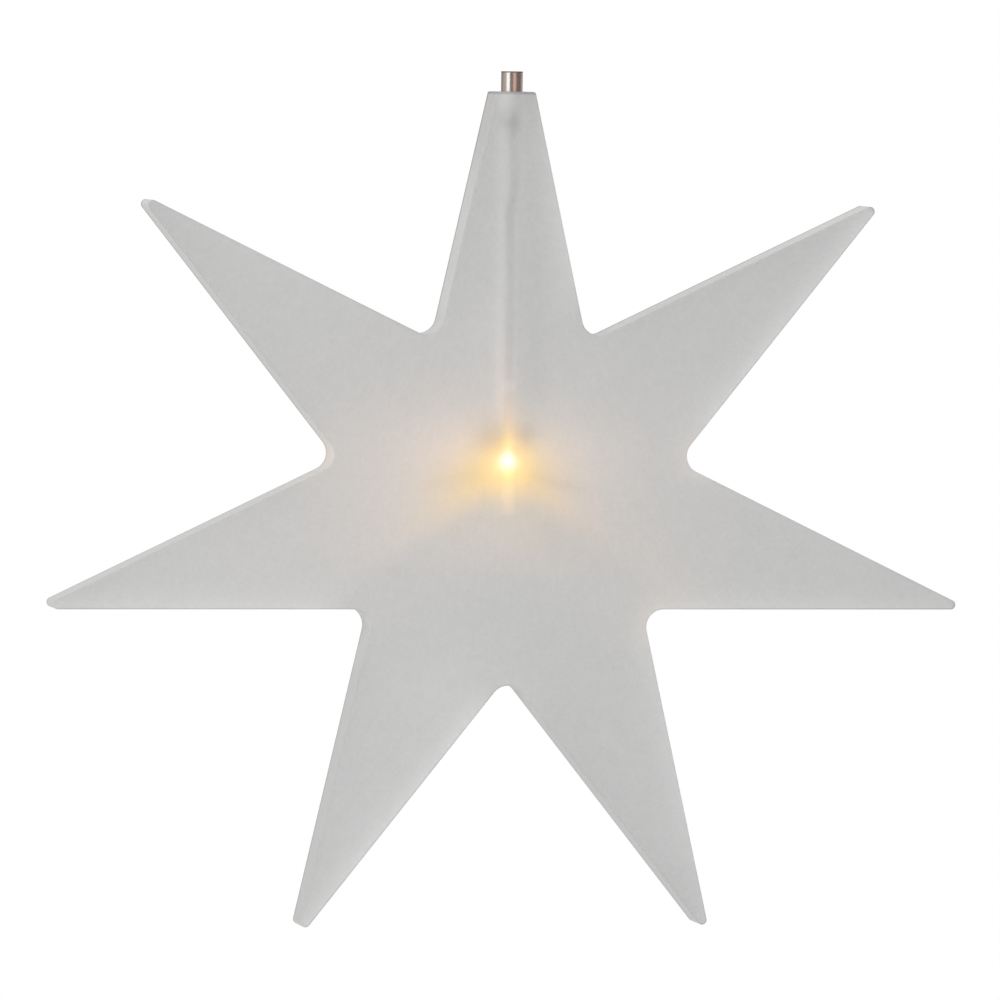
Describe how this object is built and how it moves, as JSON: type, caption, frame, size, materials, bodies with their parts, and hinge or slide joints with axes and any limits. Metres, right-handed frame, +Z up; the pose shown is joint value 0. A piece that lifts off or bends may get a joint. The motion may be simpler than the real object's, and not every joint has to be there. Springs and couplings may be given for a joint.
{
  "type": "led star pendant light",
  "caption": "Flat pointed star pendant of thick frosted acrylic, hung by a short metal tube and lit from inside by a small lamp in a bore down its top arm.",
  "frame": {"origin": "centre of the upper end of the stem tube, by which the star hangs", "axes": "+Z up along the stem tube and the bore, +X across the star's width, the star's front faces -Y"},
  "size_m": [0.256, 0.012, 0.2372],
  "materials": {
    "frosted_acrylic": "fine frosted, satin",
    "nickel_plate": "polished nickel plate on brass",
    "shrink_sleeve": "matte shrink tube",
    "tinned_copper": "tin plated",
    "positive_pvc": "smooth PVC",
    "negative_pvc": "smooth PVC",
    "copper": "bare strands",
    "solder": "bright tin",
    "clear_epoxy": "water clear",
    "lead_frame": "tin plated stamping",
    "chip": "lit chip",
    "phosphor": "cast phosphor",
    "gold": "bright"
  },
  "bodies": {
    "lamp_insert": {"stem_tube": "nickel_plate", "splice_sleeve": "shrink_sleeve", "positive_crimp": "tinned_copper", "negative_crimp": "tinned_copper", "positive_jacket": "positive_pvc", "negative_jacket": "negative_pvc", "positive_core": "copper", "negative_core": "copper", "positive_solder": "solder", "negative_solder": "solder", "positive_sleeve": "shrink_sleeve", "negative_sleeve": "shrink_sleeve", "led_lens": "clear_epoxy", "led_anode": "lead_frame", "led_cathode": "lead_frame", "led_die": "chip", "led_phosphor": "phosphor", "led_bond_wire": "gold"},
    "star": {"star_plate": "frosted_acrylic"}
  },
  "joints": [
    {"name": "star_swivel", "type": "hinge", "parent": "lamp_insert", "child": "star", "pos_m": [0, 0, 0], "axis": [0, 0, 1], "continuous": true}
  ]
}
